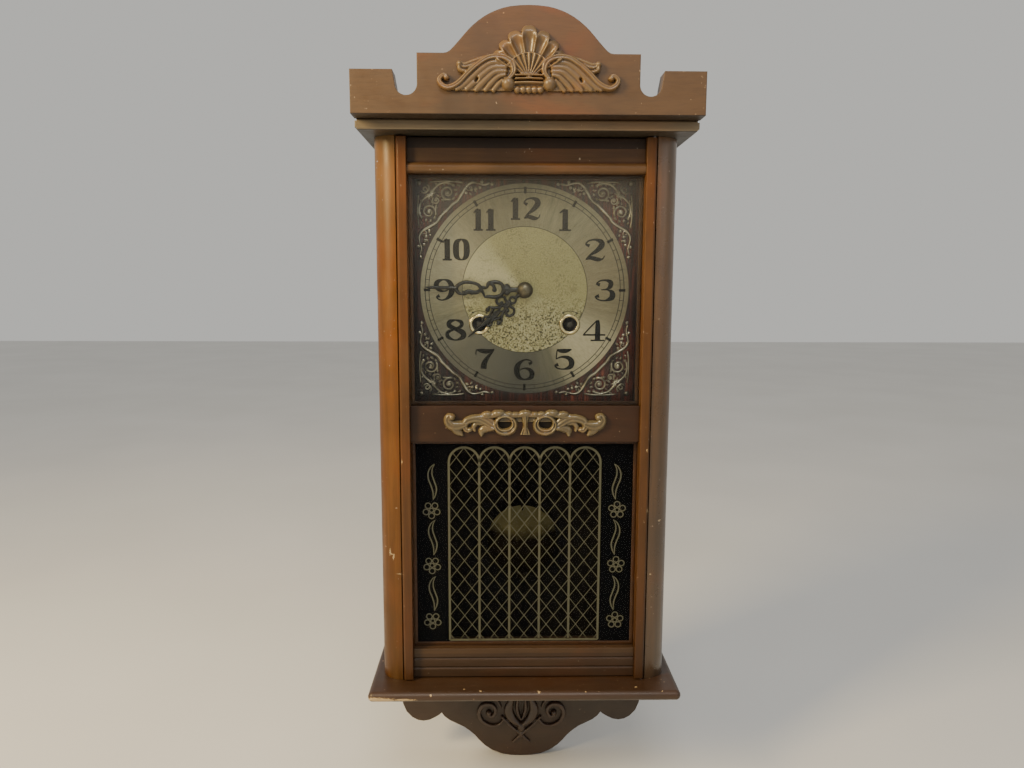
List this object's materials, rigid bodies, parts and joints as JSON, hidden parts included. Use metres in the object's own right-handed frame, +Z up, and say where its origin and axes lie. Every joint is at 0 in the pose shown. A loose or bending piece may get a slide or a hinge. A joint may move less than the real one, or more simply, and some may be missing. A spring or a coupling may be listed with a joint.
{
  "type": "wall clock",
  "caption": "Wooden pendulum wall clock: carved crown and bracket, glazed hinged door, square dial board with round dial, pierced hands, striking movement.",
  "frame": {"origin": "centre of the hanger plate's hole on the wall plane, where the wall nail sits", "axes": "+X to the right as seen from the front, +Y back into the wall, +Z up"},
  "size_m": [0.2676, 0.132, 0.671],
  "materials": {
    "dark_wood": "satin",
    "carved_wood": "satin",
    "post_wood": "satin",
    "plain_wood": "raw",
    "dial_veneer": "gloss",
    "dial_metal": "brushed",
    "gilt": "satin",
    "brass": "polished",
    "steel": "brushed",
    "black_metal": "black",
    "glass": "clear"
  },
  "bodies": {
    "case": {"back_board": "plain_wood", "side_panel_left": "dark_wood", "side_panel_right": "dark_wood", "corner_post_left": "post_wood", "corner_post_right": "post_wood", "cornice_slab": "dark_wood", "cap_board": "dark_wood", "crown_board": "carved_wood", "crown_carving": "carved_wood", "base_shelf": "dark_wood", "base_bracket": "carved_wood", "bracket_carving": "carved_wood", "hanger_plate": "brass", "hanger_screws": "steel", "dial_battens": "plain_wood", "dial_board": "dial_veneer", "dial_disc": "dial_metal", "spandrels": "gilt", "winding_grommets": "gilt", "front_plate": "brass", "back_plate": "brass", "plate_pillars": "brass", "movement_standoffs": "steel", "suspension_cock": "brass", "suspension_spring": "steel", "gong_block": "black_metal", "coil_gong": "steel", "pivot_pins": "steel", "door_catch": "black_metal"},
    "door": {"door_stile_left": "post_wood", "door_stile_right": "post_wood", "door_top_rail": "post_wood", "door_mid_rail": "post_wood", "door_bottom_rail": "post_wood", "mid_ornament": "gilt", "upper_glass": "glass", "lower_glass": "glass", "glass_beads": "post_wood"},
    "minute": {"centre_wheel": "brass", "minute_hand": "black_metal", "hand_nut": "steel"},
    "hour": {"hour_wheel": "brass", "hour_hand": "black_metal"},
    "minute_work": {"minute_wheel": "brass"},
    "intermediate": {"intermediate_wheel": "brass"},
    "third": {"third_wheel": "brass"},
    "escape": {"escape_wheel": "brass"},
    "time_barrel": {"time_barrel": "brass"},
    "time_arbor": {"time_winding_arbor": "steel"},
    "strike_barrel": {"strike_barrel": "brass"},
    "strike_arbor": {"strike_winding_arbor": "steel"},
    "strike_second": {"strike_second_wheel": "brass"},
    "strike_warning": {"strike_warning_wheel": "brass"},
    "fly": {"fly": "brass"},
    "verge": {"pallets": "steel", "crutch": "steel"},
    "pendulum": {"pendulum_rod": "brass", "pendulum_bob": "brass"},
    "rating_nut": {"rating_nut": "brass"},
    "hammer": {"hammer": "steel"}
  },
  "joints": [
    {"name": "door_hinge", "type": "hinge", "parent": "case", "child": "door", "pos_m": [0.1031, -0.0895, -0.21], "axis": [0, 0, 1], "range_deg": [0, 105]},
    {"name": "pendulum_swing", "type": "hinge", "parent": "case", "child": "pendulum", "pos_m": [0, -0.02, -0.048], "axis": [0, -1, 0], "range_deg": [-4.5, 4.5]},
    {"name": "verge_rock", "type": "hinge", "parent": "case", "child": "verge", "pos_m": [0, -0.035, -0.048], "axis": [0, -1, 0], "range_deg": [-4.5, 4.5]},
    {"name": "minute_turn", "type": "hinge", "parent": "case", "child": "minute", "pos_m": [0, -0.05, -0.1], "axis": [0, -1, 0], "continuous": true},
    {"name": "hour_turn", "type": "hinge", "parent": "case", "child": "hour", "pos_m": [0, -0.055, -0.1], "axis": [0, -1, 0], "continuous": true},
    {"name": "minute_wheel_turn", "type": "hinge", "parent": "case", "child": "minute_work", "pos_m": [0, -0.05, -0.1168], "axis": [0, -1, 0], "continuous": true},
    {"name": "intermediate_turn", "type": "hinge", "parent": "case", "child": "intermediate", "pos_m": [0.02019, -0.038, -0.10578], "axis": [0, -1, 0], "continuous": true},
    {"name": "third_turn", "type": "hinge", "parent": "case", "child": "third", "pos_m": [-0.00718, -0.038, -0.08027], "axis": [0, -1, 0], "continuous": true},
    {"name": "escape_turn", "type": "hinge", "parent": "case", "child": "escape", "pos_m": [0, -0.038, -0.06376], "axis": [0, -1, 0], "continuous": true},
    {"name": "time_barrel_turn", "type": "hinge", "parent": "case", "child": "time_barrel", "pos_m": [0.0392, -0.038, -0.1295], "axis": [0, -1, 0], "continuous": true},
    {"name": "time_winding", "type": "hinge", "parent": "case", "child": "time_arbor", "pos_m": [0.0392, -0.045, -0.1295], "axis": [0, -1, 0], "continuous": true},
    {"name": "strike_barrel_turn", "type": "hinge", "parent": "case", "child": "strike_barrel", "pos_m": [-0.0392, -0.038, -0.1295], "axis": [0, -1, 0], "continuous": true},
    {"name": "strike_winding", "type": "hinge", "parent": "case", "child": "strike_arbor", "pos_m": [-0.0392, -0.045, -0.1295], "axis": [0, -1, 0], "continuous": true},
    {"name": "strike_second_turn", "type": "hinge", "parent": "case", "child": "strike_second", "pos_m": [-0.04185, -0.038, -0.09922], "axis": [0, -1, 0], "continuous": true},
    {"name": "strike_warning_turn", "type": "hinge", "parent": "case", "child": "strike_warning", "pos_m": [-0.03135, -0.038, -0.08103], "axis": [0, -1, 0], "continuous": true},
    {"name": "fly_turn", "type": "hinge", "parent": "case", "child": "fly", "pos_m": [-0.02747, -0.038, -0.06654], "axis": [0, -1, 0], "continuous": true},
    {"name": "rating_nut_turn", "type": "hinge", "parent": "pendulum", "child": "rating_nut", "pos_m": [0, -0.02, -0.3736], "axis": [0, 0, 1], "continuous": true},
    {"name": "hammer_lift", "type": "hinge", "parent": "case", "child": "hammer", "pos_m": [-0.062, -0.03, -0.07], "axis": [0, -1, 0], "range_deg": [-8, 0]}
  ],
  "couplings": [
    {"joint": "verge_rock", "follows": "pendulum_swing", "ratio": 1},
    {"joint": "hour_turn", "follows": "minute_turn", "ratio": 0.083333},
    {"joint": "minute_wheel_turn", "follows": "minute_turn", "ratio": -0.33333},
    {"joint": "intermediate_turn", "follows": "minute_turn", "ratio": -0.2},
    {"joint": "time_barrel_turn", "follows": "minute_turn", "ratio": 0.030303},
    {"joint": "third_turn", "follows": "minute_turn", "ratio": -6},
    {"joint": "escape_turn", "follows": "minute_turn", "ratio": 30},
    {"joint": "strike_second_turn", "follows": "strike_barrel_turn", "ratio": -6.6},
    {"joint": "strike_warning_turn", "follows": "strike_barrel_turn", "ratio": 33},
    {"joint": "fly_turn", "follows": "strike_barrel_turn", "ratio": -132}
  ]
}
